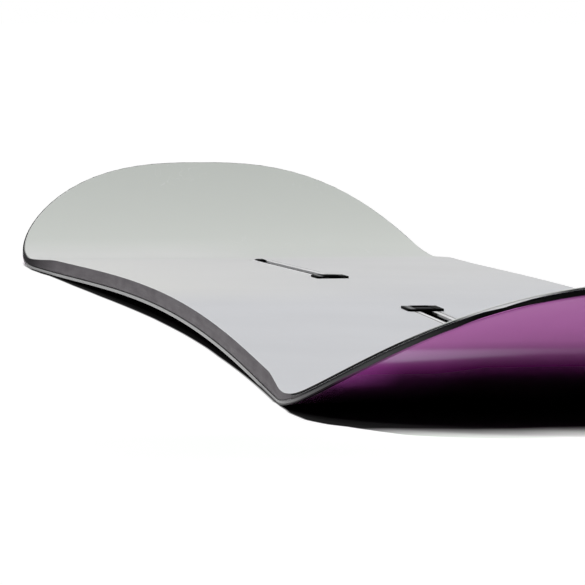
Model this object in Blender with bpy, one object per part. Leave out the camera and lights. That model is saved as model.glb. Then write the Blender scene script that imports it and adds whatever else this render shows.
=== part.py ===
"""Snowboard with two centreline binding channels, as the separate layers of a real board.

Frame: X along the board with the nose at +X, Y across it and Z up. The origin is on the floor under
the board's centre.

Every piece is laid out in board coordinates: s along the board, y across it, and the height above the
running surface, measured square to that surface. place() turns these into world positions.
"""
import math
from collections import namedtuple

import bmesh
import bpy
from mathutils import Vector

MM = 0.001
GAP = 0.3 * MM

# Plan shape
HALF_LENGTH = 788 * MM
CONTACT = 575 * MM
WIDEST = 608.5 * MM
WAIST_WIDTH = 252 * MM
TIP_WIDTH = 293.6 * MM
TIP_FLAT = 12 * MM
MID_INTERVALS = 29
SHOULDER_INTERVALS = 3
TIP_INTERVALS = 22
RIM_SAMPLES = 600

# Side profile
CAMBER = 6.5 * MM
CAMBER_POWER = 1.9
Tip = namedtuple("Tip", "fullness rise rise_power taper_start taper_length")
NOSE = Tip(fullness=2.35, rise=64 * MM, rise_power=2.2, taper_start=535.3 * MM, taper_length=111 * MM)
TAIL = Tip(fullness=2.65, rise=66 * MM, rise_power=2.35, taper_start=495.7 * MM, taper_length=167 * MM)

# Total thickness: full as far as each tip's taper, which thins it to the tip's own thickness
MID_THICKNESS = 10.8 * MM
TIP_THICKNESS = 4.2 * MM
CORE_END = 635 * MM

# Layers, counted up from the running surface
BASE_HEIGHT = 1.1 * MM
EDGE_HEIGHT = 1.9 * MM
EDGE_WIDTH = 1.8 * MM
FLANGE_WIDTH = 7.0 * MM
FLANGE_HEIGHT = 0.5 * MM
DAMPING_HEIGHT = 0.4 * MM
DAMPING_SETBACK = 0.5 * MM
FLANGE_BOTTOM = EDGE_HEIGHT - FLANGE_HEIGHT
CORE_BOTTOM = EDGE_HEIGHT + GAP
DAMPING_TOP = CORE_BOTTOM + DAMPING_HEIGHT

# Layers, counted down from the deck
TOPSHEET_DEPTH = 0.5 * MM
LAMINATE_TOP = TOPSHEET_DEPTH + GAP
LAMINATE_DEPTH = LAMINATE_TOP + 0.4 * MM
CORE_TOP = LAMINATE_DEPTH + GAP

# Wood core stringers, by the distance of their joints from the centreline
STRINGER_JOINTS = (40 * MM, 76 * MM)
BLOCK_INTERVALS = 14

# Binding channels, one in each half of the board
CHANNEL_START = 151.3 * MM
CHANNEL_END = 470 * MM
CHANNEL_HALF_WIDTH = 7.6 * MM
CAVITY_HALF_WIDTH = 5.6 * MM
SLOT_HALF_WIDTH = 3.2 * MM
CHANNEL_FLOOR_HEIGHT = 0.8 * MM
LIP_DEPTH = 1.5 * MM
CHANNEL_INTERVALS = 9
FLOOR_TOP = CORE_BOTTOM + CHANNEL_FLOOR_HEIGHT

# Port plug: a stem in the channel's open inner end, under a raised cap with sloping sides
PLUG_START = 149.5 * MM
PLUG_END = 175.5 * MM
PORT_END = 171.9 * MM
CAP_HALF_WIDTH = 9.6 * MM
CAP_PLATEAU_HALF_WIDTH = 5.7 * MM
CAP_RIM_HEIGHT = 0.9 * MM
CAP_HEIGHT = 1.7 * MM
CAP_NOSE = 1.0 * MM

# End stop: a small T-shaped block that closes the channel's outer end
STOP_LENGTH = 16 * MM

# Colours
PALE_GREY = (0.60, 0.60, 0.61)
RAIL_GREY = (0.52, 0.52, 0.53)
SIDEWALL_GREY = (0.10, 0.10, 0.11)
RIM_BLACK = (0.015, 0.015, 0.017)
PLUG_BLACK = (0.006, 0.006, 0.007)
BASE_PURPLE = (0.31, 0.11, 0.29)
STEEL = (0.55, 0.55, 0.56)
RUBBER_BLACK = (0.01, 0.01, 0.01)
GLASS_FIBRE = (0.55, 0.58, 0.45)
LIGHT_WOOD = (0.62, 0.45, 0.27)
DARK_WOOD = (0.48, 0.32, 0.17)
ALUMINIUM = (0.60, 0.60, 0.61)


# Shape of the board

def tip_at(s):
    return NOSE if s >= 0 else TAIL


def running_height(s):
    """Height of the running surface above the floor."""
    reach = abs(s)
    if reach < CONTACT:
        return CAMBER * (1 - (reach / CONTACT) ** 2) ** CAMBER_POWER
    tip = tip_at(s)
    return tip.rise * ((reach - CONTACT) / (HALF_LENGTH - CONTACT)) ** tip.rise_power


def surface_normal(s):
    step = 0.1 * MM
    slope = (running_height(s + step) - running_height(s - step)) / (2 * step)
    return Vector((-slope, 0, 1)).normalized()


def thickness(s):
    tip = tip_at(s)
    taper = min(max((abs(s) - tip.taper_start) / tip.taper_length, 0), 1)
    return MID_THICKNESS + (TIP_THICKNESS - MID_THICKNESS) * taper


def place(s, y, height):
    return Vector((s, y, running_height(s))) + surface_normal(s) * height


def above_base(height):
    return lambda s: height


def below_deck(depth):
    return lambda s: thickness(s) - depth


# Outline in plan: a list of (s, half width) from the tail's flat to the nose's

def even_stations(low, high, intervals):
    return [low + (high - low) * k / intervals for k in range(intervals + 1)]


def sidecut_half_width(s):
    return (WAIST_WIDTH + (TIP_WIDTH - WAIST_WIDTH) * (s / WIDEST) ** 2) / 2


def tip_outline(tip):
    """Superellipse from the widest point to the tip's flat, in even steps along the rim."""
    power = 2 / tip.fullness
    last = math.acos((2 * TIP_FLAT / TIP_WIDTH) ** (1 / power))
    reach = (HALF_LENGTH - WIDEST) / math.sin(last) ** power
    fine = []
    for k in range(RIM_SAMPLES + 1):
        angle = last * k / RIM_SAMPLES
        width = TIP_WIDTH / 2 * math.cos(angle) ** power
        fine.append((WIDEST + reach * math.sin(angle) ** power, width))
    lengths = [0.0]
    for a, b in zip(fine, fine[1:]):
        lengths.append(lengths[-1] + math.dist(a, b))
    points = []
    for k in range(1, TIP_INTERVALS + 1):
        target = lengths[-1] * k / TIP_INTERVALS
        points.append(min(zip(lengths, fine), key=lambda pair: abs(pair[0] - target))[1])
    return points


def half_outline():
    running = even_stations(-CONTACT, CONTACT, MID_INTERVALS)
    shoulder = even_stations(CONTACT, WIDEST, SHOULDER_INTERVALS)[1:]
    stations = [-s for s in reversed(shoulder)] + running + shoulder
    middle = [(s, sidecut_half_width(s)) for s in stations]
    tail = [(-s, width) for s, width in reversed(tip_outline(TAIL))]
    return tail + middle + tip_outline(NOSE)


OUTLINE = half_outline()


def inset_outline(inset):
    """The outline moved inwards, with mitred corners, and with its flats moved inwards too."""
    (s_tail, w_tail), (s_nose, w_nose) = OUTLINE[0], OUTLINE[-1]
    path = [(s_tail, -w_tail)] + OUTLINE + [(s_nose, -w_nose)]
    points = []
    for before, here, after in zip(path, path[1:], path[2:]):
        normals = []
        for a, b in ((before, here), (here, after)):
            length = math.dist(a, b)
            normals.append(Vector((a[1] - b[1], b[0] - a[0])) / length)
        outward = (normals[0] + normals[1]) / (1 + normals[0].dot(normals[1]))
        points.append((here[0] - inset * outward.x, here[1] - inset * outward.y))
    return points


def half_width(outline, s):
    for (s0, w0), (s1, w1) in zip(outline, outline[1:]):
        if s0 <= s <= s1:
            return w0 + (w1 - w0) * (s - s0) / (s1 - s0)
    raise ValueError("s is outside the outline")


def clipped(outline, low, high):
    """The outline between two exact ends. Its own points are kept where they are clear of the ends."""
    clear = 2 * MM
    inner = [outline[k] for k, (s, _) in enumerate(OUTLINE) if low + clear < s < high - clear]
    return [(low, half_width(outline, low))] + inner + [(high, half_width(outline, high))]


# Solids

def make_object(name, mesh, colour, roughness, metallic=0.0):
    material = bpy.data.materials.new(name)
    material.use_nodes = True
    shader = material.node_tree.nodes["Principled BSDF"]
    shader.inputs["Base Color"].default_value = (*colour, 1)
    shader.inputs["Roughness"].default_value = roughness
    shader.inputs["Metallic"].default_value = metallic
    mesh.materials.append(material)
    piece = bpy.data.objects.new(name, mesh)
    bpy.context.scene.collection.objects.link(piece)
    return piece


def loft_mesh(name, rings):
    """Skin a run of rings of world points, and close both ends."""
    bm = bmesh.new()
    rows = [[bm.verts.new(point) for point in ring] for ring in rings]
    count = len(rings[0])
    for row, following in zip(rows, rows[1:]):
        for k in range(count):
            nxt = (k + 1) % count
            bm.faces.new((row[k], row[nxt], following[nxt], following[k]))
    bm.faces.new(list(reversed(rows[0])))
    bm.faces.new(rows[-1])
    bmesh.ops.recalc_face_normals(bm, faces=bm.faces)
    mesh = bpy.data.meshes.new(name)
    bm.to_mesh(mesh)
    bm.free()
    mesh.shade_smooth()
    mesh.set_sharp_from_angle(angle=math.radians(25))
    return mesh


def prism_mesh(name, stations, section):
    """A bar along the board. Its section is a list of (y, level), where level gives a height at s."""
    return loft_mesh(name, [[place(s, y, level(s)) for y, level in section] for s in stations])


def rectangle(y_low, y_high, low, high):
    return [(y_low, low), (y_high, low), (y_high, high), (y_low, high)]


def sheet_mesh(name, rows, low, high):
    """A full-width layer. Its rows are a list of (s, half width)."""
    rings = []
    for s, width in rows:
        corners = ((-width, low), (width, low), (width, high), (-width, high))
        rings.append([place(s, y, level(s)) for y, level in corners])
    return loft_mesh(name, rings)


def rim_mesh(name, side, section, paths):
    """A bar that follows the outline. Its section is a list of (inset, level), with a path per inset."""
    rings = []
    for k in range(len(next(iter(paths.values())))):
        ring = []
        for inset, level in section:
            s, width = paths[inset][k]
            ring.append(place(s, side * width, level(s)))
        rings.append(ring)
    return loft_mesh(name, rings)


def add_boolean(piece, other, operation):
    modifier = piece.modifiers.new(operation.lower(), "BOOLEAN")
    modifier.operation = operation
    modifier.object = other
    other.hide_render = True
    other.display_type = "WIRE"


# Running surface and steel edges

def make_base_sheet():
    rows = inset_outline(EDGE_WIDTH + GAP)
    mesh = sheet_mesh("base_sheet", rows, above_base(0), above_base(BASE_HEIGHT))
    make_object("base_sheet", mesh, BASE_PURPLE, 0.12)


def make_edge(name, side):
    """Steel edge with its buried flange, from the tail's centre round one side to the nose's."""
    section = [
        (0.0, above_base(0)), (0.0, above_base(EDGE_HEIGHT)), (FLANGE_WIDTH, above_base(EDGE_HEIGHT)),
        (FLANGE_WIDTH, above_base(FLANGE_BOTTOM)), (EDGE_WIDTH, above_base(FLANGE_BOTTOM)),
        (EDGE_WIDTH, above_base(0)),
    ]
    paths = {}
    for inset in (0.0, EDGE_WIDTH, FLANGE_WIDTH):
        path = inset_outline(inset)
        paths[inset] = [(path[0][0], GAP / 2)] + path + [(path[-1][0], GAP / 2)]
    make_object(name, rim_mesh(name, side, section, paths), STEEL, 0.32, 1.0)


def make_rim_bar(name, side, outer, inner, low, high, colour, roughness):
    """A rectangular bar along the effective edge, between two insets from the outline."""
    section = [(outer, low), (outer, high), (inner, high), (inner, low)]
    end = CORE_END - GAP
    paths = {inset: clipped(inset_outline(inset), -end, end) for inset in (outer, inner)}
    make_object(name, rim_mesh(name, side, section, paths), colour, roughness)


# Laminates, topsheet and tip spacers

def make_lower_laminate():
    rows = inset_outline(FLANGE_WIDTH + GAP)
    mesh = sheet_mesh("lower_laminate", rows, above_base(FLANGE_BOTTOM), above_base(EDGE_HEIGHT))
    make_object("lower_laminate", mesh, GLASS_FIBRE, 0.45)


def make_channel_cutter(name, end):
    stations = [end * s for s in even_stations(CHANNEL_START - GAP, CHANNEL_END + GAP, CHANNEL_INTERVALS)]
    reach = CHANNEL_HALF_WIDTH + GAP
    section = rectangle(-reach, reach, below_deck(2 * CORE_TOP), below_deck(-CORE_TOP))
    cutter = bpy.data.objects.new(name, prism_mesh(name, stations, section))
    bpy.context.scene.collection.objects.link(cutter)
    return cutter


def make_topsheet(cutters):
    mesh = sheet_mesh("topsheet", OUTLINE, below_deck(TOPSHEET_DEPTH), below_deck(0))
    piece = make_object("topsheet", mesh, PALE_GREY, 0.35)
    for cutter in cutters:
        add_boolean(piece, cutter, "DIFFERENCE")


def make_upper_laminate(cutters):
    """Between the sidewalls along the core, and out to the rim over the tip spacers."""
    inner = clipped(inset_outline(FLANGE_WIDTH + GAP), -CORE_END, CORE_END)
    step = CORE_END + GAP
    tail = [point for point in OUTLINE if point[0] < -step - GAP]
    nose = [point for point in OUTLINE if point[0] > step + GAP]
    rows = tail + [(-step, half_width(OUTLINE, -step))] + inner + [(step, half_width(OUTLINE, step))] + nose
    mesh = sheet_mesh("upper_laminate", rows, below_deck(LAMINATE_DEPTH), below_deck(LAMINATE_TOP))
    piece = make_object("upper_laminate", mesh, GLASS_FIBRE, 0.45)
    for cutter in cutters:
        add_boolean(piece, cutter, "DIFFERENCE")


def make_tip_spacer(name, end):
    start = CORE_END + GAP
    rows = [(end * start, half_width(OUTLINE, end * start))]
    rows += [point for point in OUTLINE[::end] if end * point[0] > start + GAP]
    mesh = sheet_mesh(name, rows, above_base(CORE_BOTTOM), below_deck(CORE_TOP))
    make_object(name, mesh, RIM_BLACK, 0.4)


# Wood core

def make_stringer(name, side, inner, outer, colour):
    """One lengthwise strip of the core. The outermost has no outer joint and follows the sidewall."""
    rings = []
    low, high = above_base(CORE_BOTTOM), below_deck(CORE_TOP)
    for s, rim in clipped(inset_outline(FLANGE_WIDTH + GAP), -CORE_END, CORE_END):
        far = rim if outer is None else outer
        ring = rectangle(side * inner, side * far, low, high)
        rings.append([place(s, y, level(s)) for y, level in ring])
    make_object(name, loft_mesh(name, rings), colour, 0.6)


def make_core():
    first, second = STRINGER_JOINTS
    strips = (
        ("inner", CHANNEL_HALF_WIDTH + GAP, first - GAP / 2, LIGHT_WOOD),
        ("middle", first + GAP / 2, second - GAP / 2, DARK_WOOD),
        ("outer", second + GAP / 2, None, LIGHT_WOOD),
    )
    for side, side_name in ((-1, "left"), (1, "right")):
        for label, inner, outer, colour in strips:
            make_stringer(f"core_{label}_{side_name}", side, inner, outer, colour)


def make_core_block(name, low, high):
    reach = CHANNEL_HALF_WIDTH
    section = rectangle(-reach, reach, above_base(CORE_BOTTOM), below_deck(CORE_TOP))
    mesh = prism_mesh(name, even_stations(low, high, BLOCK_INTERVALS), section)
    make_object(name, mesh, DARK_WOOD, 0.6)


# Binding channels

def make_channel(label, end):
    """Floor, walls and lips, which together make a T-shaped track that opens at the deck."""
    full = [end * s for s in even_stations(CHANNEL_START, CHANNEL_END, CHANNEL_INTERVALS)]
    lips = [end * s for s in even_stations(PORT_END + GAP, CHANNEL_END, CHANNEL_INTERVALS)]
    floor = rectangle(
        -CHANNEL_HALF_WIDTH, CHANNEL_HALF_WIDTH, above_base(CORE_BOTTOM), above_base(FLOOR_TOP))
    name = f"channel_floor_{label}"
    make_object(name, prism_mesh(name, full, floor), ALUMINIUM, 0.4, 1.0)
    for side, side_name in ((-1, "left"), (1, "right")):
        wall = rectangle(
            side * CAVITY_HALF_WIDTH, side * CHANNEL_HALF_WIDTH,
            above_base(FLOOR_TOP + GAP), below_deck(LIP_DEPTH + GAP))
        name = f"channel_wall_{label}_{side_name}"
        make_object(name, prism_mesh(name, full, wall), RIM_BLACK, 0.5)
        lip = rectangle(
            side * SLOT_HALF_WIDTH, side * CHANNEL_HALF_WIDTH, below_deck(LIP_DEPTH), below_deck(0))
        name = f"channel_lip_{label}_{side_name}"
        make_object(name, prism_mesh(name, lips, lip), RAIL_GREY, 0.4)


def mirrored(right_half):
    """A closed section from its right half, which is listed from the bottom up."""
    return right_half + [(-y, level) for y, level in reversed(right_half)]


def make_port_plug(name, end):
    cap_stations = [end * s for s in (PLUG_START, PLUG_START + CAP_NOSE, PLUG_END - CAP_NOSE, PLUG_END)]
    rings = []
    for s, drop in zip(cap_stations, (CAP_NOSE / 2, 0, 0, CAP_NOSE / 2)):
        section = mirrored([
            (CAP_HALF_WIDTH, below_deck(-GAP)),
            (CAP_HALF_WIDTH, below_deck(-GAP - CAP_RIM_HEIGHT)),
            (CAP_PLATEAU_HALF_WIDTH, below_deck(-GAP - CAP_HEIGHT + drop)),
        ])
        rings.append([place(s, y, level(s)) for y, level in section])
    plug = make_object(name, loft_mesh(name, rings), PLUG_BLACK, 0.25)

    buried = below_deck(-GAP - CAP_RIM_HEIGHT / 2)
    stem_section = mirrored([
        (CAVITY_HALF_WIDTH - GAP, above_base(FLOOR_TOP + GAP)),
        (CAVITY_HALF_WIDTH - GAP, below_deck(LIP_DEPTH)),
        (CHANNEL_HALF_WIDTH, below_deck(LIP_DEPTH)),
        (CHANNEL_HALF_WIDTH, buried),
    ])
    stem_stations = [end * s for s in even_stations(CHANNEL_START + GAP, PORT_END, 2)]
    stem_name = f"{name}_stem"
    stem = bpy.data.objects.new(stem_name, prism_mesh(stem_name, stem_stations, stem_section))
    bpy.context.scene.collection.objects.link(stem)
    add_boolean(plug, stem, "UNION")


def make_end_stop(name, end):
    section = mirrored([
        (CAVITY_HALF_WIDTH - GAP, above_base(FLOOR_TOP + GAP)),
        (CAVITY_HALF_WIDTH - GAP, below_deck(LIP_DEPTH + GAP)),
        (SLOT_HALF_WIDTH - GAP, below_deck(LIP_DEPTH + GAP)),
        (SLOT_HALF_WIDTH - GAP, below_deck(0)),
    ])
    stations = [end * s for s in even_stations(CHANNEL_END - STOP_LENGTH, CHANNEL_END, 2)]
    make_object(name, prism_mesh(name, stations, section), PLUG_BLACK, 0.35)


def build():
    for old in list(bpy.data.objects):
        bpy.data.objects.remove(old)

    make_base_sheet()
    make_lower_laminate()
    for side, side_name in ((-1, "left"), (1, "right")):
        make_edge(f"steel_edge_{side_name}", side)
        make_rim_bar(
            f"damping_strip_{side_name}", side, DAMPING_SETBACK, FLANGE_WIDTH,
            above_base(CORE_BOTTOM), above_base(DAMPING_TOP), RUBBER_BLACK, 0.8)
        make_rim_bar(
            f"sidewall_{side_name}", side, 0.0, FLANGE_WIDTH,
            above_base(DAMPING_TOP + GAP), below_deck(LAMINATE_TOP), SIDEWALL_GREY, 0.45)

    cutters = []
    for label, end in (("nose", 1), ("tail", -1)):
        cutters.append(make_channel_cutter(f"{label}_channel_cutter", end))
    make_upper_laminate(cutters)
    make_topsheet(cutters)

    make_core()
    make_core_block("core_block_centre", GAP - CHANNEL_START, CHANNEL_START - GAP)
    for label, end in (("nose", 1), ("tail", -1)):
        low, high = sorted((end * (CHANNEL_END + GAP), end * CORE_END))
        make_core_block(f"core_block_{label}", low, high)
        make_tip_spacer(f"tip_spacer_{label}", end)
        make_channel(label, end)
        make_port_plug(f"port_plug_{label}", end)
        make_end_stop(f"channel_stop_{label}", end)


build()
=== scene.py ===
"""A snowboard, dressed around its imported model.

The board lies along X with its nose at +X, Y across it and Z up, in metres. Shapes are laid out in
board coordinates: s along the board, y across it, and the height above the running surface, measured
square to that surface. place() turns these into points of the scene.
"""
import math
from functools import partialmethod

import bmesh
import bpy
from mathutils import Matrix, Vector


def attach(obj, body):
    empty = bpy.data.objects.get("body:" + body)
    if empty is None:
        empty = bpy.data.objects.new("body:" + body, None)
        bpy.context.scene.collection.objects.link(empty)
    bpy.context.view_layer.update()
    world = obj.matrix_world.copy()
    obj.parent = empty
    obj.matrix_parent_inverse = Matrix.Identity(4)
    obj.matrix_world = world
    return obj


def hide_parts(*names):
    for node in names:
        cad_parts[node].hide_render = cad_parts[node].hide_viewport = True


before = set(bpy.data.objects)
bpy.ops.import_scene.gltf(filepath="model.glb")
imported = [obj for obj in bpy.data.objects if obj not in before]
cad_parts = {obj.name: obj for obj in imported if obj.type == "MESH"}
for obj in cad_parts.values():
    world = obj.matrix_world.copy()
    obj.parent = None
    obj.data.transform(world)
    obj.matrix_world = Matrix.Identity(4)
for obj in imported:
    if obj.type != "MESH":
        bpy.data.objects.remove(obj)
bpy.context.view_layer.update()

MM = 0.001
SIDES = (("left", -1), ("right", 1))
ENDS = (("nose", 1), ("tail", -1))

# Plan shape and side profile, as in the part's own source
WAIST_WIDTH = 252 * MM
TIP_WIDTH = 293.6 * MM
WIDEST = 608.5 * MM
CONTACT = 575 * MM
HALF_LENGTH = 788 * MM
TIP_FLAT = 12 * MM
SHOULDER = (590 * MM, 627 * MM)
CAMBER = 6.5 * MM
CAMBER_POWER = 1.9
FULLNESS = {1: 2.35, -1: 2.65}
RISE = {1: 64 * MM, -1: 66 * MM}
RISE_POWER = {1: 2.2, -1: 2.35}

# Thickness
MID_THICKNESS = 10.8 * MM
TIP_THICKNESS = 4.2 * MM
TAPER_START = {1: 535.3 * MM, -1: 495.7 * MM}
TAPER_LENGTH = {1: 111 * MM, -1: 167 * MM}
TAPER_EASE = 0.14
THIN_STATION = 700 * MM  # a place where the board is as thin as its tips
CORE_END = 635 * MM
SIDE_LEAN = 1.0 * MM

# Layers: heights are above the running surface, and depths are below the deck
GAP = 0.3 * MM
BASE_HEIGHT = 1.1 * MM
EDGE_HEIGHT = 1.9 * MM
EDGE_WIDTH = 1.8 * MM
FLANGE_WIDTH = 7.0 * MM
FLANGE_BOTTOM = 1.4 * MM
RUBBER_TOP = 2.4 * MM
TOPSHEET_DEPTH = 0.5 * MM
LAMINATE_DEPTH = 1.2 * MM

# Channels
CHANNEL_START = 151.3 * MM
CHANNEL_END = 470 * MM
CHANNEL_HALF_WIDTH = 7.6 * MM
CAVITY_HALF_WIDTH = 5.6 * MM
SLOT_HALF_WIDTH = 3.4 * MM
LIP_DEPTH = 1.5 * MM
FLOOR_TOP = 3.0 * MM
PORT_END = 171.9 * MM
STOP_LENGTH = 16 * MM
PLUG_START = 149.5 * MM
PLUG_END = 175.5 * MM
CAP_HALF_WIDTH = 10.0 * MM
CAP_PLATEAU_HALF_WIDTH = 5.7 * MM
CAP_RIM_HEIGHT = 1.35 * MM
CAP_HEIGHT = 1.5 * MM
RIB_PITCH = 4.0 * MM
RIB_LENGTH = 1.3 * MM
RIB_DEPTH = 0.4 * MM
RIB_HEIGHT = 0.95 * MM

# Fineness of the dressed surfaces
TIP_STEPS = 110
STATION_PITCH = 9 * MM
PANEL_COLUMNS = 6
WINDOW_SHARE = 0.13
CORNER_STEPS = 4
ROUND_STEPS = 3
DECK_ROUND = 0.22 * MM
SUPPORT = 0.7 * MM  # from a border to the flat face's nearest points
SHARP_ANGLE = 40
SMALL_PART_ANGLE = 30
MERGE_DISTANCE = 1e-6
LEAST_LENGTH = 1e-7


# Shape of the board

def end_of(s):
    return 1 if s >= 0 else -1


def running_height(s):
    reach = abs(s)
    if reach < CONTACT:
        return CAMBER * (1 - (reach / CONTACT) ** 2) ** CAMBER_POWER
    end = end_of(s)
    return RISE[end] * ((reach - CONTACT) / (HALF_LENGTH - CONTACT)) ** RISE_POWER[end]


def surface_normal(s):
    step = 0.1 * MM
    slope = (running_height(s + step) - running_height(s - step)) / (2 * step)
    return Vector((-slope, 0, 1)).normalized()


def eased_ramp(x, ease):
    """Runs from 0 at x = 0 to 1 at x = 1, with both corners rounded off."""
    if x < -ease:
        return 0.0
    if x < ease:
        return (x + ease) ** 2 / (4 * ease)
    if x < 1 - ease:
        return x
    if x < 1 + ease:
        return 1 - (1 + ease - x) ** 2 / (4 * ease)
    return 1.0


def thickness(s):
    end = end_of(s)
    thinning = eased_ramp((abs(s) - TAPER_START[end]) / TAPER_LENGTH[end], TAPER_EASE)
    return MID_THICKNESS + (TIP_THICKNESS - MID_THICKNESS) * thinning


def lean(s):
    """How far the deck's border stands in from the base's. The sidewalls lean in, the thin tips don't."""
    return SIDE_LEAN * (thickness(s) - TIP_THICKNESS) / (MID_THICKNESS - TIP_THICKNESS)


def deck_stand_in(s):
    """The deck follows the leaning sidewalls, and round the tail it stays clear of the black rim."""
    return lean(s) if s > 0 else SIDE_LEAN


def place(s, y, height):
    return Vector((s, y, running_height(s))) + surface_normal(s) * height


def above_base(height):
    return lambda s: height


def below_deck(depth):
    return lambda s: thickness(s) - depth


# Rim of the board in plan

def tip_power(end):
    return 2 / FULLNESS[end]


def tip_reach(end):
    power = tip_power(end)
    last = math.acos((2 * TIP_FLAT / TIP_WIDTH) ** (1 / power))
    return (HALF_LENGTH - WIDEST) / math.sin(last) ** power


def sidecut_half_width(reach):
    return (WAIST_WIDTH + (TIP_WIDTH - WAIST_WIDTH) * (reach / WIDEST) ** 2) / 2


def tip_half_width(reach, end):
    x = (reach - WIDEST) / tip_reach(end)
    return TIP_WIDTH / 2 * (1 - x ** FULLNESS[end]) ** (1 / FULLNESS[end])


def shoulder_half_width(reach, end):
    """A smooth run from the sidecut into the tip's curve."""
    low, high = SHOULDER
    step = 0.5 * MM
    span = high - low
    w0, w1 = sidecut_half_width(low), tip_half_width(high, end)
    d0 = (sidecut_half_width(low) - sidecut_half_width(low - step)) / step * span
    d1 = (tip_half_width(high + step, end) - tip_half_width(high, end)) / step * span
    u = (reach - low) / span
    return (
        w0 * (2 * u ** 3 - 3 * u ** 2 + 1) + d0 * (u ** 3 - 2 * u ** 2 + u)
        + w1 * (3 * u ** 2 - 2 * u ** 3) + d1 * (u ** 3 - u ** 2))


def half_width(s):
    reach = abs(s)
    low, high = SHOULDER
    if reach <= low:
        return sidecut_half_width(reach)
    if reach < high:
        return shoulder_half_width(reach, end_of(s))
    return tip_half_width(reach, end_of(s))


def tip_points(end):
    """Even steps along the rim, from just past the widest place to the very tip."""
    power, reach = tip_power(end), tip_reach(end)
    smoothed = WIDEST + 0.6 * reach  # up to here the rim takes half_width's smooth shoulder
    samples = 4000
    fine = []
    for k in range(samples + 1):
        angle = math.pi / 2 * k / samples
        s = WIDEST + reach * math.sin(angle) ** power
        fine.append((s, TIP_WIDTH / 2 * max(math.cos(angle), 0.0) ** power))
    lengths = [0.0]
    for a, b in zip(fine, fine[1:]):
        lengths.append(lengths[-1] + math.dist(a, b))
    points, k = [], 0
    for step in range(1, TIP_STEPS + 1):
        while k < samples and lengths[k] < lengths[-1] * step / TIP_STEPS:
            k += 1
        points.append(fine[k])
    points[-1] = (fine[-1][0], 0.0)
    exact = min(range(TIP_STEPS), key=lambda n: abs(points[n][0] - CORE_END))
    points[exact] = (CORE_END, 0.0)
    return [(s, half_width(end * s) if s < smoothed else w) for s, w in points]


def rim_points():
    marks = [CHANNEL_START - GAP, CHANNEL_END + GAP]
    count = round(2 * WIDEST / STATION_PITCH)
    even = [WIDEST * (2 * k / count - 1) for k in range(count + 1)]
    clear = 3 * MM
    stations = [s for s in even if all(abs(abs(s) - mark) > clear for mark in marks)]
    stations += [end * mark for mark in marks for _, end in ENDS]
    middle = [(s, half_width(s)) for s in sorted(stations)]
    tail = [(-s, w) for s, w in reversed(tip_points(-1))]
    return tail + middle + tip_points(1)


def rim_path():
    """(s, half width, outward normal in s, outward normal in y, distance along the rim) at each row."""
    points = rim_points()
    around = [(points[1][0], -points[1][1])] + points + [(points[-2][0], -points[-2][1])]
    path, run = [], 0.0
    for k, (s, w) in enumerate(points):
        before, after = around[k], around[k + 2]
        length = math.dist(before, after)
        if k:
            run += math.dist(points[k - 1], points[k])
        path.append((s, w, (before[1] - after[1]) / length, (after[0] - before[0]) / length, run))
    return path


RIM = rim_path()


def rim_row(k, inset):
    s, w, across, along, _ = RIM[k]
    return s - inset * across, max(w - inset * along, 0.0)


def nearest_row(s):
    return min(range(len(RIM)), key=lambda k: abs(RIM[k][0] - s))


# Node trees

class Value:
    """An output of a node, the first one if none is picked. Arithmetic with it adds further nodes."""

    def __init__(self, nodes, outputs, label=0):
        self.nodes, self.outputs = nodes, outputs
        self.socket = outputs[label] if outputs else None

    def __getitem__(self, label):
        return Value(self.nodes, self.outputs, label)

    def apply(self, operation, *others):
        return self.nodes.add("ShaderNodeMath", dict(enumerate((self, *others))), operation=operation)

    __add__ = partialmethod(apply, "ADD")
    __sub__ = partialmethod(apply, "SUBTRACT")
    __mul__ = partialmethod(apply, "MULTIPLY")
    __truediv__ = partialmethod(apply, "DIVIDE")
    __pow__ = partialmethod(apply, "POWER")
    __abs__ = partialmethod(apply, "ABSOLUTE")
    at_least = partialmethod(apply, "MAXIMUM")
    at_most = partialmethod(apply, "MINIMUM")

    def __rsub__(self, number):
        return self.nodes.add("ShaderNodeMath", {0: number, 1: self}, operation="SUBTRACT")

    def ramp(self, start, end, low=0.0, high=1.0):
        """Runs from low at start to high at end, and stays level beyond both."""
        inputs = {"Value": self, "From Min": start, "From Max": end, "To Min": low, "To Max": high}
        return self.nodes.add("ShaderNodeMapRange", inputs, clamp=True)

    def fade(self, start, end, last=0.0):
        """Is 1 up to start, and drops to last at end."""
        return self.ramp(start, end, 1.0, last)

    def band(self, rise, fall, last=0.0):
        """Goes from 0 to 1 over the range rise, stays there, and drops to last over the range fall."""
        return self.ramp(*rise) * self.fade(*fall, last)

    def mix(self, first, second):
        """The first colour where this mask is 0, and the second where it is 1."""
        inputs = {"Factor": self, 6: first, 7: second}
        return self.nodes.add("ShaderNodeMix", inputs, data_type="RGBA")[2]

    def split(self):
        """Its three coordinates."""
        return self.nodes.add("ShaderNodeSeparateXYZ", {0: self})


class Nodes:
    """A node tree, with a short way to add nodes to it and to fill their inputs."""

    def __init__(self, tree):
        self.tree = tree

    def put(self, value, socket):
        """Link a value to the socket, or set it. A colour is red, green and blue, or one grey."""
        if isinstance(value, Value):
            self.tree.links.new(value.socket, socket)
        elif socket.type == "RGBA":
            socket.default_value = (*value, 1) if isinstance(value, tuple) else (value, value, value, 1)
        else:
            socket.default_value = value

    def add(self, kind, inputs=None, **settings):
        """A new node's outputs. Its inputs are given by name or by number."""
        node = self.tree.nodes.new(kind)
        for key, value in settings.items():
            setattr(node, key, value)
        for label, value in (inputs or {}).items():
            self.put(value, node.inputs[label])
        return Value(self, node.outputs)

    def noise(self, vector, scale, detail, **others):
        inputs = {"Vector": vector, "Scale": scale, "Detail": detail, **others}
        return self.add("ShaderNodeTexNoise", inputs)


def coats(colour, *layers):
    """A colour with others laid over it, each given with its mask."""
    for mask, coat in layers:
        colour = mask.mix(colour, coat)
    return colour


# Meshes

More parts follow.
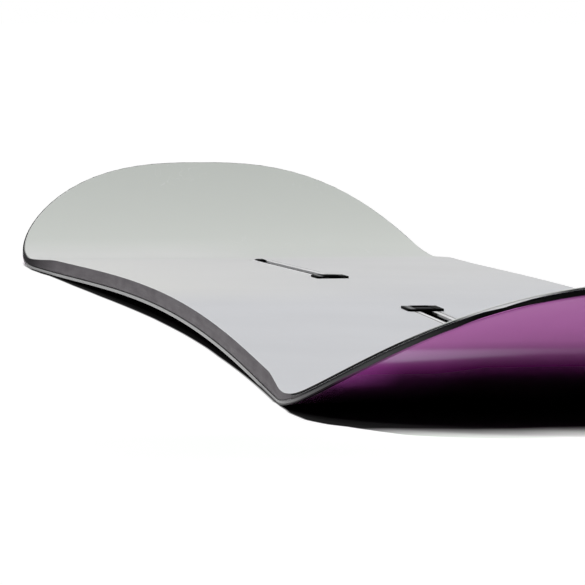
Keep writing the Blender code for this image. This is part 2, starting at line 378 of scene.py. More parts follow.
def finish_mesh(name, verts, faces, lay, sharp=SHARP_ANGLE):
    """Merge, close, turn outwards and keep each point's lay: along the run, across it, from the rim."""
    mesh = bpy.data.meshes.new(name)
    mesh.from_pydata(verts, [], faces)
    layer = mesh.attributes.new("lay", "FLOAT_VECTOR", "POINT")
    layer.data.foreach_set("vector", [value for point in lay for value in point])
    bm = bmesh.new()
    bm.from_mesh(mesh)
    bmesh.ops.remove_doubles(bm, verts=bm.verts, dist=MERGE_DISTANCE)
    bmesh.ops.dissolve_degenerate(bm, edges=bm.edges, dist=LEAST_LENGTH)
    bmesh.ops.recalc_face_normals(bm, faces=bm.faces)
    bm.to_mesh(mesh)
    bm.free()
    mesh.shade_smooth()
    mesh.set_sharp_from_angle(angle=math.radians(sharp))
    return mesh


def give_material(mesh, material):
    mesh.materials.clear()
    mesh.materials.append(material)


def add_piece(name, mesh, material, body, *stands_for):
    piece = bpy.data.objects.new(name, mesh)
    bpy.context.scene.collection.objects.link(piece)
    give_material(mesh, material)
    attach(piece, body)
    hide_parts(*stands_for)


def tube_faces(rows, size):
    """Faces between closed rings of size points that follow one another, with a cap at each end."""
    faces = []
    for k in range(rows):
        for n in range(size):
            nxt = (n + 1) % size
            faces.append((k * size + n, k * size + nxt, (k + 1) * size + nxt, (k + 1) * size + n))
    faces.append(tuple(reversed(range(size))))
    faces.append(tuple(rows * size + n for n in range(size)))
    return faces


def distances_round(section, s):
    """How far round a section each of its (inset, level) points lies, at the station s."""
    around = [0.0]
    for (i0, l0), (i1, l1) in zip(section, section[1:]):
        around.append(around[-1] + math.hypot(i1 - i0, l1(s) - l0(s)))
    return around


def panel_columns(width):
    """Places across a full-width layer. The middle three are the channel window's sides and centre."""
    window = min(CHANNEL_HALF_WIDTH + GAP, WINDOW_SHARE * width)
    right = [window + (width - window) * k / PANEL_COLUMNS for k in range(PANEL_COLUMNS + 1)]
    return [-y for y in reversed(right)] + [0.0] + right


def layer_mesh(name, skirt, windows=(), stand_in=lambda s: 0.0):
    """A full-width layer. Its skirt lists (inset, level) from the upper face's border to the lower's."""
    verts, faces, lay = [], [], []
    columns = 2 * PANEL_COLUMNS + 3
    (top_inset, top), (low_inset, low) = skirt[0], skirt[-1]
    middle = skirt[1:-1]
    depth = distances_round(skirt, THIN_STATION)
    for k, rim in enumerate(RIM):
        shift = stand_in(rim[0])
        s_top, w_top = rim_row(k, top_inset + shift)
        s_low, w_low = rim_row(k, low_inset + shift)
        rows = [
            (*rim_row(k, inset + shift), level, top_inset - depth[n + 1])
            for n, (inset, level) in enumerate(middle)]
        ring = [(s_top, y, top, top_inset + w_top - abs(y)) for y in panel_columns(w_top)]
        ring += rows
        ring += [(s_low, y, low, top_inset - depth[-1]) for y in reversed(panel_columns(w_low))]
        ring += [(s, -w, level, distance) for s, w, level, distance in reversed(rows)]
        for s, y, level, distance in ring:
            verts.append(place(s, y, level(s)))
            lay.append((rim[4], y, distance))
    size = len(ring)
    left, right = PANEL_COLUMNS, PANEL_COLUMNS + 2
    last_under = columns + len(middle) + columns - 1

    def upper(k, c):
        return k * size + c

    def lower(k, c):
        return k * size + last_under - c

    spans = [(nearest_row(a), nearest_row(b)) for a, b in windows]
    for k in range(len(RIM) - 1):
        cut = any(a <= k < b for a, b in spans)
        for c in range(size):
            if cut and (left <= c < right or last_under - right <= c < last_under - left):
                continue
            nxt = (c + 1) % size
            faces.append((k * size + c, k * size + nxt, (k + 1) * size + nxt, (k + 1) * size + c))
        if cut:
            for c in (left, right):
                faces.append((upper(k, c), upper(k + 1, c), lower(k + 1, c), lower(k, c)))
    for a, b in spans:
        for k in (a, b):
            for c in range(left, right):
                faces.append((upper(k, c), upper(k, c + 1), lower(k, c + 1), lower(k, c)))
    return finish_mesh(name, verts, faces, lay)


def rim_bar_mesh(name, side, section, first=0, last=len(RIM) - 1, leaning=()):
    """A bar that follows the rim. Its section is a closed list of (inset, level). Some points can lean in."""
    verts, lay = [], []
    around = distances_round(section, 0.0)
    for k in range(first, last + 1):
        for n, (inset, level) in enumerate(section):
            s, w = rim_row(k, inset + (lean(RIM[k][0]) if n in leaning else 0.0))
            verts.append(place(s, side * max(w, GAP / 2), level(s)))
            lay.append((RIM[k][4], around[n], inset))
    return finish_mesh(name, verts, tube_faces(last - first, len(section)), lay)


def even_stations(low, high, pitch):
    count = max(1, round((high - low) / pitch))
    return [low + (high - low) * k / count for k in range(count + 1)]


def bar_mesh(name, end, stations, section):
    """A bar along a channel. Its section is a closed list of (y, level)."""
    verts, lay = [], []
    for s in stations:
        around = 0.0
        for n, (y, level) in enumerate(section):
            if n:
                around += abs(y - section[n - 1][0])
            verts.append(place(end * s, y, level(s)))
            lay.append((s, around, y))
    return finish_mesh(name, verts, tube_faces(len(stations) - 1, len(section)), lay)


def tip_bar_mesh(name, end, section):
    """A bar round a tip's rim, from the core's end on one side to its end on the other."""
    start = nearest_row(end * CORE_END)
    rows = list(range(start, len(RIM)) if end > 0 else range(start, -1, -1))
    path = [(k, -1) for k in rows] + [(k, 1) for k in reversed(rows[:-1])]
    verts, lay = [], []
    for k, side in path:
        for n, (inset, level) in enumerate(section):
            s, w = rim_row(k, inset)
            verts.append(place(s, side * w, level(s)))
            lay.append((side * RIM[k][4], n * MM, inset))
    return finish_mesh(name, verts, tube_faces(len(path) - 1, len(section)), lay)


def rounded_loop(s_low, s_high, half, radius):
    """Points round a rectangle about the centreline with rounded corners, always in the same order."""
    corners = (
        (s_high - radius, half - radius, 0), (s_low + radius, half - radius, 90),
        (s_low + radius, radius - half, 180), (s_high - radius, radius - half, 270))
    points = []
    for s, y, start in corners:
        for k in range(CORNER_STEPS + 1):
            angle = math.radians(start + 90 * k / CORNER_STEPS)
            points.append((s + radius * math.cos(angle), y + radius * math.sin(angle)))
    return points


def stacked_mesh(name, end, loops):
    """A closed body from a stack of (points, level) loops, each with the same number of points."""
    verts, lay = [], []
    for n, (points, level) in enumerate(loops):
        for s, y in points:
            verts.append(place(end * s, y, level(end * s)))
            lay.append((s, y, n * MM))
    return finish_mesh(name, verts, tube_faces(len(loops) - 1, len(loops[0][0])), lay, SMALL_PART_ANGLE)


def make_rib_tree():
    """One rib on each point, turned by the point's tilt."""
    tree = bpy.data.node_groups.new("rib row", "GeometryNodeTree")
    tree.is_modifier = True
    kinds = {"Geometry": "Geometry", "Rib Length": "Float", "Rib Depth": "Float", "Rib Height": "Float",
             "Rib Material": "Material"}
    for label, kind in kinds.items():
        tree.interface.new_socket(label, in_out="INPUT", socket_type=f"NodeSocket{kind}")
    tree.interface.new_socket("Geometry", in_out="OUTPUT", socket_type="NodeSocketGeometry")
    nodes = Nodes(tree)
    given = nodes.add("NodeGroupInput")
    size = {"X": given["Rib Length"], "Y": given["Rib Depth"], "Z": given["Rib Height"]}
    tilt = nodes.add("GeometryNodeInputNamedAttribute", {"Name": "tilt"}, data_type="FLOAT")
    turn = nodes.add("ShaderNodeCombineXYZ", {"Y": tilt["Attribute"]})
    row = nodes.add("GeometryNodeInstanceOnPoints", {
        "Points": nodes.add("GeometryNodeMeshToPoints", {"Mesh": given["Geometry"]}),
        "Instance": nodes.add("GeometryNodeMeshCube", {"Size": nodes.add("ShaderNodeCombineXYZ", size)}),
        "Rotation": nodes.add("FunctionNodeEulerToRotation", {0: turn})})
    solid = nodes.add("GeometryNodeRealizeInstances", {"Geometry": row})
    clear_of_tail_shade = nodes.add("GeometryNodeSetMaterial", {"Geometry": solid, "Material": given["Rib Material"]})
    nodes.add("NodeGroupOutput", {"Geometry": clear_of_tail_shade})
    return tree


RIB_TREE = make_rib_tree()


def rib_row_mesh(name, places, tilts, material):
    """The ribs at the given places as one plain mesh."""
    mesh = bpy.data.meshes.new(name)
    mesh.from_pydata(places, [], [])
    mesh.attributes.new("tilt", "FLOAT", "POINT").data.foreach_set("value", tilts)
    carrier = bpy.data.objects.new(name, mesh)
    bpy.context.scene.collection.objects.link(carrier)
    modifier = carrier.modifiers.new("ribs", "NODES")
    modifier.node_group = RIB_TREE
    values = {"Rib Length": RIB_LENGTH, "Rib Depth": RIB_DEPTH, "Rib Height": RIB_HEIGHT,
              "Rib Material": material}
    for socket in RIB_TREE.interface.items_tree:
        if socket.name in values:
            modifier[socket.identifier] = values[socket.name]
    ready = carrier.evaluated_get(bpy.context.evaluated_depsgraph_get())
    ribs = bpy.data.meshes.new_from_object(ready)
    bpy.data.objects.remove(carrier)
    bpy.data.meshes.remove(mesh)
    return ribs


def joined_mesh(first, second):
    """Both meshes in the first one."""
    bm = bmesh.new()
    bm.from_mesh(first)
    bm.from_mesh(second)
    bm.to_mesh(first)
    bm.free()
    bpy.data.meshes.remove(second)
    first.set_sharp_from_angle(angle=math.radians(SMALL_PART_ANGLE))
    return first


# Shader node groups

def new_group(name, inputs, outputs):
    """A shader group with float or vector inputs, given as name: default, and named outputs."""
    tree = bpy.data.node_groups.new(name, "ShaderNodeTree")
    for label, value in inputs.items():
        kind = "NodeSocketVector" if value is None else "NodeSocketFloat"
        socket = tree.interface.new_socket(label, in_out="INPUT", socket_type=kind)
        if value is not None:
            socket.default_value = value
    for label in outputs:
        tree.interface.new_socket(label, in_out="OUTPUT", socket_type="NodeSocketFloat")
    nodes = Nodes(tree)
    return nodes, nodes.add("NodeGroupInput")


def put_surface(nodes, noise, given):
    """Height runs from 0 to 1 over most of the noise, and Value from Low to High with it."""
    height = noise.ramp(0.3, 0.7)
    value = height.ramp(0.0, 1.0, given["Low"], given["High"])
    nodes.add("NodeGroupOutput", {"Value": value, "Height": height})


def make_grain_group():
    """Even mottling at one size."""
    nodes, given = new_group(
        "even grain", {"Vector": None, "Scale": 500.0, "Low": 0.0, "High": 1.0}, ("Value", "Height"))
    put_surface(nodes, nodes.noise(given["Vector"], given["Scale"], detail=3.0, Roughness=0.55), given)
    return nodes.tree


def make_lines_group():
    """Fine lines along the first coordinate, such as grinding, planing and wood grain."""
    nodes, given = new_group(
        "lengthwise lines", {"Vector": None, "Along": 8.0, "Across": 2500.0, "Low": 0.0, "High": 1.0},
        ("Value", "Height"))
    x, y, z = given["Vector"].split()
    stretched = nodes.add("ShaderNodeCombineXYZ", {
        "X": x * given["Along"], "Y": y * given["Across"], "Z": z * given["Across"]})
    put_surface(nodes, nodes.noise(stretched, 1.0, detail=4.0, Roughness=0.6), given)
    return nodes.tree


def make_scuff_group():
    """Sparse thin marks that run mostly along the board. Mask is 1 on a mark."""
    nodes, given = new_group("handling marks", {"Vector": None, "Scale": 30.0, "Thinness": 0.985}, ("Mask",))
    stretched = nodes.add("ShaderNodeMapping", {
        "Vector": given["Vector"], "Rotation": (0.0, 0.0, 0.35), "Scale": (0.12, 1.0, 1.0)})
    lines = nodes.noise(stretched, given["Scale"] * 6.0, detail=1.0, Distortion=0.4)
    marks = (1.0 - abs(lines - 0.5) * 2.0).ramp(given["Thinness"], 1.0)
    sparse = nodes.noise(given["Vector"], given["Scale"], detail=1.0).ramp(0.56, 0.7)
    nodes.add("NodeGroupOutput", {"Mask": marks * sparse})
    return nodes.tree


def make_rim_group():
    """Mask is 1 at the rim and fades out unevenly over Reach, for rub marks along an edge."""
    nodes, given = new_group(
        "rim wear", {"Lay": None, "Vector": None, "Reach": 0.001, "Scale": 180.0}, ("Mask",))
    uneven = nodes.noise(given["Vector"], given["Scale"], detail=4.0).ramp(0.45, 0.7, 0.1, 1.0)
    inset = given["Lay"].split()[2]
    near = inset / (given["Reach"] * uneven)
    nodes.add("NodeGroupOutput", {"Mask": near.fade(0.3, 1.0)})
    return nodes.tree


GRAIN = make_grain_group()
LINES = make_lines_group()
SCUFFS = make_scuff_group()
RIM_WEAR = make_rim_group()


# Materials. Their ranges are places on the board in metres, and their colours are linear.
# The viewpoint shows the nose's end and the board's left side, where y is negative.

FAINT_IOR = 1.12
# A pale grey for the painted highlight along the nose's front rim
RIM_HIGHLIGHT = (0.62, 0.62, 0.63)


class Finish(Nodes):
    """One material. place is where a point is on the board, and lay how it lies in its piece."""

    def __init__(self, name):
        self.material = bpy.data.materials.new(name)
        self.material.use_nodes = True
        super().__init__(self.material.node_tree)
        self.place = self.add("ShaderNodeTexCoord")["Object"]

    def lay(self):
        return self.add("ShaderNodeAttribute", attribute_name="lay")["Vector"]

    def group(self, tree, vector=None, **values):
        """A shared group's outputs. The values are its other inputs."""
        return self.add("ShaderNodeGroup", {"Vector": vector or self.place, **values}, node_tree=tree)

    def cloud(self, scale, vector=None):
        return self.group(GRAIN, vector, Scale=scale)["Height"]

    def done(self, colour, surface, depth, strength, specular=0.5, **others):
        """Give the shader its colour, the surface's roughness and relief, and its other values."""
        relief = {"Height": surface["Height"], "Distance": depth, "Strength": strength}
        values = {
            "Base Color": colour, "Roughness": surface["Value"], "Normal": self.add("ShaderNodeBump", relief),
            "Specular IOR Level": specular}
        values |= {label.replace("_", " "): value for label, value in others.items()}
        for label, value in values.items():
            self.put(value, self.tree.nodes["Principled BSDF"].inputs[label])
        return self.material


def make_satin_deck():
    """Pale grey, cooler towards the nose and greener at the tail. Painted shade deepens both tips.

    Its side face is dark, and so is its border at the tail's near corner. At the nose's front
    the side face keeps the pale colour, as a painted highlight.
    """
    deck = Finish("satin_deck")
    x, y, _ = deck.place.split()
    lay = deck.lay()
    inset = lay.split()[2]
    cloud = deck.cloud(9.0)
    scuffs = deck.group(SCUFFS, Scale=22.0, Thinness=0.986)["Mask"]
    wear = deck.group(RIM_WEAR, Lay=lay, Reach=1.2 * MM)["Mask"]
    warm = cloud.mix((0.575, 0.577, 0.585), (0.605, 0.607, 0.615))
    cool = cloud.mix((0.566, 0.574, 0.599), (0.596, 0.604, 0.629))
    # tips: painted shade, deeper on both upturned tips
    nose_half, tail, tips = x.ramp(-0.25, 0.15), x.ramp(-0.45, -0.66), abs(x).ramp(0.66, 0.79)
    # lit: painted light, a paler patch towards the board's left border
    lit = x.band((-0.61, -0.44), (-0.05, 0.10)) * y.fade(-0.12, 0.02, 0.1)
    # A painted highlight: a pale band where the tail bends up
    bend_highlight = x.band((-0.68, -0.63), (-0.61, -0.56)) * y.ramp(-0.03, 0.03, 0.75, 0.0)
    # The side face is dark but for the nose's front, where the pale colour stays as a painted highlight
    side = inset.ramp(-0.05 * MM, -0.2 * MM) * x.fade(0.735, 0.760)
    side_colour = x.ramp(0.630, 0.660).mix(0.10, (0.010, 0.010, 0.011))
    tail_corner = x.band((-0.70, -0.64), (-0.62, -0.60)) * y.fade(-0.08, -0.05)
    colour = coats(
        warm, (nose_half, cool), (tail, (0.585, 0.608, 0.580)), (tips, (0.465, 0.487, 0.462)),
        (lit, (0.648, 0.650, 0.640)), (bend_highlight, (0.664, 0.668, 0.662)),
        (scuffs * 0.35, (0.70, 0.70, 0.71)), (wear * 0.4, (0.72, 0.72, 0.73)), (side, side_colour),
        (tail_corner * inset.fade(0.3 * MM, 0.9 * MM), (0.012, 0.012, 0.013)))
    speck = deck.group(GRAIN, Scale=1400.0, Low=0.48, High=0.58)
    return deck.done(colour, speck, depth=0.02 * MM, strength=0.3, specular=0.12)


def make_planed_sidewall():
    """Dark grey, planed lengthwise, under a dull coat. By the tail, coatless and painted near black as shade.
    """
    wall = Finish("planed_sidewall")
    x = wall.place.split()[0]
    lay = wall.lay()
    height = lay.split()[1]
    lines = wall.group(LINES, lay, Along=6.0, Across=2600.0, Low=0.40, High=0.62)
    scuffs = wall.group(SCUFFS, lay, Scale=60.0, Thinness=0.96)["Mask"]
    rubbing_and_highlight = wall.group(LINES, lay, Along=26.0, Across=260.0, Low=0.18, High=0.46)["Value"]
    planed = coats(
        lines["Height"].mix((0.060, 0.052, 0.059), (0.080, 0.070, 0.079)),
        (wall.cloud(35.0, lay) * 0.5, (0.100, 0.089, 0.098)), (scuffs * 0.6, (0.16, 0.16, 0.17)))
    # Falls off beside the tail, where it paints shade: the colour turns near black and the coat fades out
    clear_of_tail_shade = x.ramp(-0.600, -0.48, 0.03, 1.0)
    nearer = x.ramp(-0.50, 0.00, 0.78, 0.97)
    lower = height.fade(1.5 * MM, 8.5 * MM, x.ramp(-0.52, -0.30, 0.25, 0.72))
    shoulder = x.band((0.38, 0.46), (0.56, 0.60))
    coat_weight = rubbing_and_highlight * (clear_of_tail_shade * nearer) * lower * shoulder.fade(0.0, 1.0, 0.78)
    return wall.done(
        clear_of_tail_shade.mix((0.007, 0.006, 0.007), planed), lines, depth=0.04 * MM, strength=0.6,
        specular=0.05, IOR=FAINT_IOR, Coat_Weight=coat_weight, Coat_Roughness=0.42)


def make_ground_steel():
    """Ground steel, with painted shade beside the tips. Round them it is painted, without any shine.

    The lowest row of its side is painted black near the nose's corners, as shade where it nears
    the floor. Round the nose's front it is purple, as the underside is, and under the tips, towards
    the middle, the underside is painted near black, as the base's shade is.
    """
    steel = Finish("ground_steel")
    x = steel.place.split()[0]
    lay = steel.lay()
    around = lay.split()[1]
    lines = steel.group(LINES, lay, Along=25.0, Across=9000.0, Low=0.24, High=0.42)
    tip = x.ramp(0.585, 0.655).at_least(x.ramp(-0.57, -0.625))
    front_row = x.band((0.760, 0.766), (0.774, 0.779)) * (0.35 * MM)
    corner_row = x.ramp(0.61, 0.64, 0.85 * MM, 0.5 * MM) * x.band((0.47, 0.50), (0.70, 0.72))
    lowest = (around - front_row.at_least(corner_row)).fade(0.0, 0.1 * MM)
    underside = around.ramp(2.2 * MM, 3.0 * MM).at_least(lowest)
    front = x.ramp(0.725, 0.765)
    grey = x.ramp(0.64, 0.70).mix((0.145, 0.142, 0.145), (0.056, 0.056, 0.058))
    # Painted shade: the underside's purple turns near black towards the middle, as the base does
    purple = x.band((0.690, 0.750), (0.779, 0.786), 0.4).mix((0.006, 0.002, 0.006), (0.42, 0.130, 0.38))
    painted = coats(grey, (front, 0.001), (underside, purple))
    # shaded: painted shade on the steel beside the tips
    shaded = x.band((0.38, 0.46), (0.57, 0.60), 0.6).at_least(x.ramp(-0.48, -0.58, 0.0, 0.7))
    # A painted shade: the lowest row turns black where the edge nears the floor
    painted_shade_line = lowest * x.ramp(0.47, 0.50)
    colour = coats(
        lines["Height"].mix((0.15, 0.15, 0.153), (0.215, 0.215, 0.218)),
        (steel.cloud(50.0, lay) * 0.3, (0.13, 0.127, 0.127)), (shaded, (0.064, 0.063, 0.065)),
        (painted_shade_line, 0.010), (tip, painted))
    return steel.done(
        colour, lines, depth=0.02 * MM, strength=0.5, specular=0.01,
        Metallic=(1.0 - tip) * (1.0 - painted_shade_line))


def make_gloss_base():
    """Glossy purple, bright on the lifted tips. Painted shade deepens it between them, most mid-width."""
    base = Finish("gloss_base")
    x, y, _ = base.place.split()
    reach, middle = abs(x), abs(y).fade(0.072, 0.092)
    lines = base.group(LINES, Along=3.0, Across=1500.0, Low=0.10, High=0.19)
    cloud = base.cloud(14.0)
    # Painted shade: the deep and the part-shaded colours stand for the shadow under the board; middle keeps
    # the sides lighter
    deep = middle.mix(cloud.mix((0.15, 0.025, 0.135), (0.18, 0.032, 0.16)), (0.07, 0.010, 0.062))
    part_shaded = middle.mix(cloud.mix((0.41, 0.055, 0.36), (0.44, 0.065, 0.39)), (0.27, 0.032, 0.235))
    front = cloud.mix((0.50, 0.162, 0.450), (0.53, 0.178, 0.480))
    bright = coats(
        cloud.mix((0.67, 0.225, 0.60), (0.71, 0.245, 0.64)),
        (lines["Height"] * 0.25, (0.74, 0.27, 0.67)), (reach.ramp(0.745, 0.780), front))
    colour = coats(deep, (reach.ramp(0.698, 0.716), part_shaded), (reach.ramp(0.716, 0.746), bright))
    return base.done(
        colour, lines, depth=0.006 * MM, strength=0.4, specular=0.6, Coat_Weight=0.8, Coat_Roughness=0.06)


def make_plug_black():
    """Black moulding. Painted highlights: grey over the nose's cap, and pale on both caps' near bevels.

    ring counts a stacked body's rings, one to each millimetre.
    """
    plug = Finish("moulded_plug")
    x, y, _ = plug.place.split()
    ring = plug.lay().split()[2]
    # A painted highlight: the nose cap's top turns dark grey, all but its right end
    rubbing_and_highlight = ring.band((5.6 * MM, 6.0 * MM), (9.1 * MM, 9.3 * MM)) * x.ramp(-0.1, 0.1)
    # A painted highlight on each cap's near bevel
    bevel = ring.band((6.2 * MM, 6.4 * MM), (7.0 * MM, 7.6 * MM)) * y.fade(-6.2 * MM, -5.8 * MM)
    colour = coats(
        plug.cloud(260.0).mix(0.001, 0.002),
        (rubbing_and_highlight * y.fade(3.4 * MM, 5.0 * MM), (0.024, 0.024, 0.025)), (bevel, (0.19, 0.19, 0.195)))
    grain = plug.group(GRAIN, Scale=2200.0, Low=0.42, High=0.54)
    return plug.done(colour, grain, depth=0.03 * MM, strength=0.5, specular=0.03, IOR=FAINT_IOR)


def make_rim_black():
    """The tip spacers' rim, greyer over the nose's shoulders, with a painted highlight on top beside its
    front.

    point counts the rim's section round, one to each millimetre.
    """
    rim = Finish("rim_black")
    x = rim.place.split()[0]
    point = rim.lay().split()[1]
    dust = rim.cloud(260.0)
    black = dust.mix((0.003, 0.003, 0.004), (0.007, 0.007, 0.008))
    grey = dust.mix((0.030, 0.030, 0.032), (0.042, 0.042, 0.045))
    grey = x.ramp(0.642, 0.668).mix((0.115, 0.108, 0.112), grey)
    shoulder = x.band((0.60, 0.63), (0.725, 0.765))
    beside_front = x.band((0.765, 0.7705), (0.7705, 0.777))
    # A painted highlight: the rim's top turns pale beside the nose's front
    rubbing_and_highlight = (point + beside_front * (1.1 * MM)).ramp(2.05 * MM, 2.25 * MM)
    colour = coats(black, (shoulder, grey), (rubbing_and_highlight, RIM_HIGHLIGHT))
    grain = rim.group(GRAIN, Scale=2200.0, Low=0.45, High=0.60)
    return rim.done(colour, grain, depth=0.03 * MM, strength=0.5, specular=0.0, IOR=FAINT_IOR)


def make_rail_grey():
    """Pale rails with a dark joint on top, and painted shade inside the slot beside the port."""
    rail = Finish("rail_grey")
    x = rail.place.split()[0]
    around = rail.lay().split()[1]
    joint = around.band((2.80 * MM, 2.90 * MM), (3.75 * MM, 3.85 * MM)) * x.ramp(-0.1, 0.1, 0.3, 1.0)
    # Painted shade: the slot's faces turn near black beside the port, in the cap's shadow
    inside = around.fade(0.32 * MM, 0.42 * MM) * abs(x).fade(0.188, 0.197)
    colour = coats(
        rail.cloud(700.0).mix((0.58, 0.58, 0.59), (0.66, 0.66, 0.67)), (joint, 0.025), (inside, 0.006))
    lines = rail.group(LINES, Along=30.0, Across=3000.0, Low=0.32, High=0.46)
    return rail.done(colour, lines, depth=0.02 * MM, strength=0.4, specular=0.4)


def make_tinted_laminate():
    """Dark woven cloth, near black round the tips, with a painted pale highlight beside the nose's front."""
    cloth = Finish("tinted_laminate")
    x = cloth.place.split()[0]
    weave = cloth.add("ShaderNodeTexChecker", {"Vector": cloth.place, "Scale": 700.0})["Fac"]
    grain = cloth.group(GRAIN, Scale=900.0, Low=0.38, High=0.52)
    tips = abs(x).ramp(0.640, 0.655) * x.fade(0.735, 0.757)
    # A painted highlight: pale beside the nose's front
    rubbing_and_highlight = x.band((0.757, 0.764), (0.776, 0.781))
    colour = coats(
        weave.mix((0.024, 0.025, 0.026), (0.038, 0.039, 0.040)),
        (grain["Height"] * 0.4, (0.055, 0.056, 0.056)), (tips, (0.008, 0.008, 0.009)), (rubbing_and_highlight, RIM_HIGHLIGHT))
    surface = {"Value": grain["Value"], "Height": weave}
    return cloth.done(colour, surface, depth=0.03 * MM, strength=0.4, specular=0.06, IOR=FAINT_IOR)


def make_rubber():
    """Black rubber, painted paler towards the nose as light over the shade of its setback."""
    rubber = Finish("damping_rubber")
    x = rubber.place.split()[0]
    grain = rubber.group(GRAIN, Scale=1500.0, Low=0.7, High=0.9)
    black = grain["Height"].mix(0.008, 0.016)
    # Painted light: paler towards the nose, so the shaded setback shows no dark line
    pale = x.ramp(0.54, 0.60).mix((0.26, 0.245, 0.255), (0.62, 0.61, 0.62))
    colour = x.ramp(0.38, 0.47).mix(black, pale)
    return rubber.done(colour, grain, depth=0.04 * MM, strength=0.5, specular=0.3)


def make_wood(name, pale, dark):
    wood = Finish(name)
    rings = wood.group(LINES, Along=4.0, Across=420.0)["Height"]
    pores = wood.group(LINES, Along=60.0, Across=3500.0, Low=0.5, High=0.75)
    colour = (pores["Height"] * 0.3).mix(rings.mix(dark, pale), dark)
    return wood.done(colour, pores, depth=0.05 * MM, strength=0.5, specular=0.3)


def make_aluminium():
    strip = Finish("channel_aluminium")
    lines = strip.group(LINES, Along=20.0, Across=5000.0, Low=0.28, High=0.45)
    colour = lines["Height"].mix((0.55, 0.55, 0.56), (0.66, 0.66, 0.67))
    return strip.done(colour, lines, depth=0.02 * MM, strength=0.4, Metallic=1.0)


SATIN_DECK = make_satin_deck()
PLANED_SIDEWALL = make_planed_sidewall()
GROUND_STEEL = make_ground_steel()
GLOSS_BASE = make_gloss_base()
PLUG_BLACK = make_plug_black()
RIM_BLACK = make_rim_black()
RAIL_GREY = make_rail_grey()
TINTED_LAMINATE = make_tinted_laminate()
DAMPING_RUBBER = make_rubber()
PALE_WOOD = make_wood("poplar_core", (0.64, 0.47, 0.29), (0.50, 0.34, 0.19))
BROWN_WOOD = make_wood("ash_core", (0.50, 0.34, 0.19), (0.37, 0.23, 0.12))
CHANNEL_ALUMINIUM = make_aluminium()


# Deck, base and rim

def rounded_shoulder(depth, radius):
    """Skirt points from a flat face over a rounded corner and down the side."""
    points = [(radius + SUPPORT, depth(0.0))]
    for k in range(ROUND_STEPS + 1):
        angle = math.pi / 2 * k / ROUND_STEPS
        points.append((radius * (1 - math.sin(angle)), depth(radius * (1 - math.cos(angle)))))
    return points


def add_deck_skin():
    windows = [sorted((end * (CHANNEL_START - GAP), end * (CHANNEL_END + GAP))) for _, end in ENDS]
    skirt = rounded_shoulder(below_deck, DECK_ROUND)
    skirt += [(0.0, below_deck(TOPSHEET_DEPTH)), (SUPPORT, below_deck(TOPSHEET_DEPTH))]
    mesh = layer_mesh("deck_skin", skirt, windows, deck_stand_in)
    add_piece("deck_skin", mesh, SATIN_DECK, "board", "topsheet")


def add_running_base():
    side = EDGE_WIDTH + 0.02 * MM
    chamfer = 0.06 * MM
    skirt = [
        (EDGE_WIDTH + SUPPORT, above_base(BASE_HEIGHT)), (side, above_base(BASE_HEIGHT)),
        (side, above_base(chamfer)), (side + chamfer, above_base(0.0)),
        (EDGE_WIDTH + SUPPORT, above_base(0.0))]
    add_piece("running_base", layer_mesh("running_base", skirt), GLOSS_BASE, "board", "base_sheet")


def add_steel_edge(side_name, side):
    corner = 0.12 * MM
    section = [
        (corner, above_base(0.0)), (0.0, above_base(corner)), (0.0, above_base(EDGE_HEIGHT - corner)),
        (corner, above_base(EDGE_HEIGHT)), (FLANGE_WIDTH, above_base(EDGE_HEIGHT)),
        (FLANGE_WIDTH, above_base(FLANGE_BOTTOM)), (EDGE_WIDTH, above_base(FLANGE_BOTTOM)),
        (EDGE_WIDTH, above_base(0.0))]
    name = f"ground_edge_{side_name}"
    add_piece(name, rim_bar_mesh(name, side, section), GROUND_STEEL, "board", f"steel_edge_{side_name}")


def add_sidewall(side_name, side):
    """A sidewall whose top leans in, and the rubber line set back below it."""
    first, last = nearest_row(-CORE_END), nearest_row(CORE_END)
    chamfer, setback = 0.45 * MM, 0.7 * MM
    section = [
        (0.0, above_base(RUBBER_TOP + chamfer)), (0.0, below_deck(TOPSHEET_DEPTH)),
        (FLANGE_WIDTH, below_deck(TOPSHEET_DEPTH)), (FLANGE_WIDTH, above_base(RUBBER_TOP)),
        (chamfer, above_base(RUBBER_TOP))]
    name = f"planed_sidewall_{side_name}"
    mesh = rim_bar_mesh(name, side, section, first, last, leaning=(1,))
    add_piece(name, mesh, PLANED_SIDEWALL, "board", f"sidewall_{side_name}")
    section = [
        (setback, above_base(EDGE_HEIGHT)), (setback, above_base(RUBBER_TOP)),
        (FLANGE_WIDTH, above_base(RUBBER_TOP)), (FLANGE_WIDTH, above_base(EDGE_HEIGHT))]
    name = f"rubber_line_{side_name}"
    mesh = rim_bar_mesh(name, side, section, first, last)
    add_piece(name, mesh, DAMPING_RUBBER, "board", f"damping_strip_{side_name}")


def add_tip_rim(label, end):
    """The black spacer's rim round a tip, between the steel edge and the laminate under the deck."""
    width, corner = 20 * MM, 0.15 * MM
    low, high = EDGE_HEIGHT + 0.05 * MM, LAMINATE_DEPTH + 0.05 * MM
    section = [
        (corner, above_base(low)), (0.0, above_base(low + corner)), (0.0, below_deck(high + corner)),
        (corner, below_deck(high)), (width, below_deck(high)), (width, above_base(low))]
    name = f"tip_rim_{label}"
    add_piece(name, tip_bar_mesh(name, end, section), RIM_BLACK, "board", f"tip_spacer_{label}")


